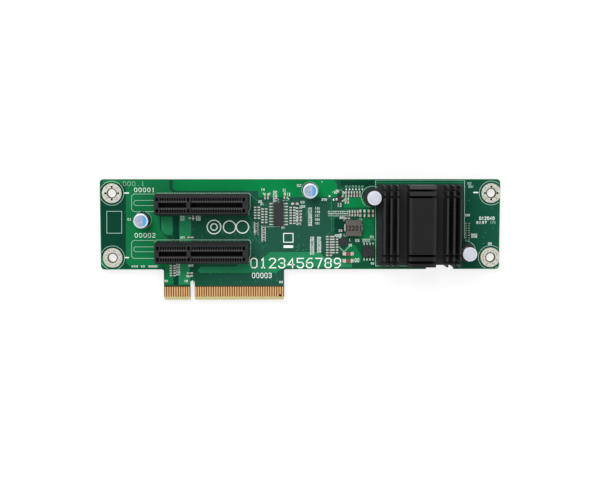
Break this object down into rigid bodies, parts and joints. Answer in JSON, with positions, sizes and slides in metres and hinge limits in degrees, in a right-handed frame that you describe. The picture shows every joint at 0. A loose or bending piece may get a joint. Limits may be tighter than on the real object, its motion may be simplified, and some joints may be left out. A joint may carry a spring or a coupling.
{
  "type": "pcie riser card",
  "caption": "Riser card that lies flat on its back: edge plug on one side, card slots, a finned heatsink over the switch chip, polymer capacitors and small surface-mount parts",
  "frame": {"origin": "Under the middle of the card, on the plane it rests on when it lies on its back.", "axes": "+X along the card towards the heatsink end, +Y from the edge plug towards the opposite long edge, +Z out of the component side."},
  "size_m": [0.17, 0.0516, 0.0187],
  "materials": {
    "green_board": "satin green solder mask on glass-epoxy laminate",
    "gold_contacts": "satin gold plate",
    "black_housing": "moulded black nylon",
    "slot_contacts": "gold over nickel plate",
    "black_anodised": "black anodised, fine grain",
    "white_plastic": "satin moulded nylon",
    "spring_steel": "bright drawn wire",
    "capacitor_can": "bright can, smooth",
    "tin_plate": "tin plate",
    "chip_black": "moulded epoxy",
    "chip_substrate": "laminate",
    "thermal_pad": "soft pad",
    "capacitor_ceramic": "tan ceramic with tin ends",
    "resistor_black": "black glaze with tin ends",
    "inductor_grey": "pressed powder, matt"
  },
  "bodies": {
    "root": {"circuit_board": "green_board", "edge_contacts_front": "gold_contacts", "edge_contacts_back": "gold_contacts", "slot_1_housing": "black_housing", "slot_2_housing": "black_housing", "slot_1_contacts": "slot_contacts", "slot_2_contacts": "slot_contacts", "heatsink": "black_anodised", "push_pin_1": "white_plastic", "push_pin_2": "white_plastic", "push_pin_spring_1": "spring_steel", "push_pin_spring_2": "spring_steel", "switch_chip_substrate": "chip_substrate", "switch_chip_cap": "chip_black", "thermal_pad": "thermal_pad", "capacitor_left_can": "capacitor_can", "capacitor_right_can": "capacitor_can", "capacitor_left_leads": "tin_plate", "capacitor_right_leads": "tin_plate", "clock_chip_body": "chip_black", "clock_chip_leads": "tin_plate", "memory_chip_body": "chip_black", "memory_chip_leads": "tin_plate", "transistor_body": "chip_black", "transistor_leads": "tin_plate", "regulator_chip": "chip_black", "inductor_core": "inductor_grey", "inductor_terminals": "tin_plate", "small_capacitors": "capacitor_ceramic", "medium_capacitors": "capacitor_ceramic", "large_capacitors": "capacitor_ceramic", "small_resistors": "resistor_black"}
  },
  "joints": []
}
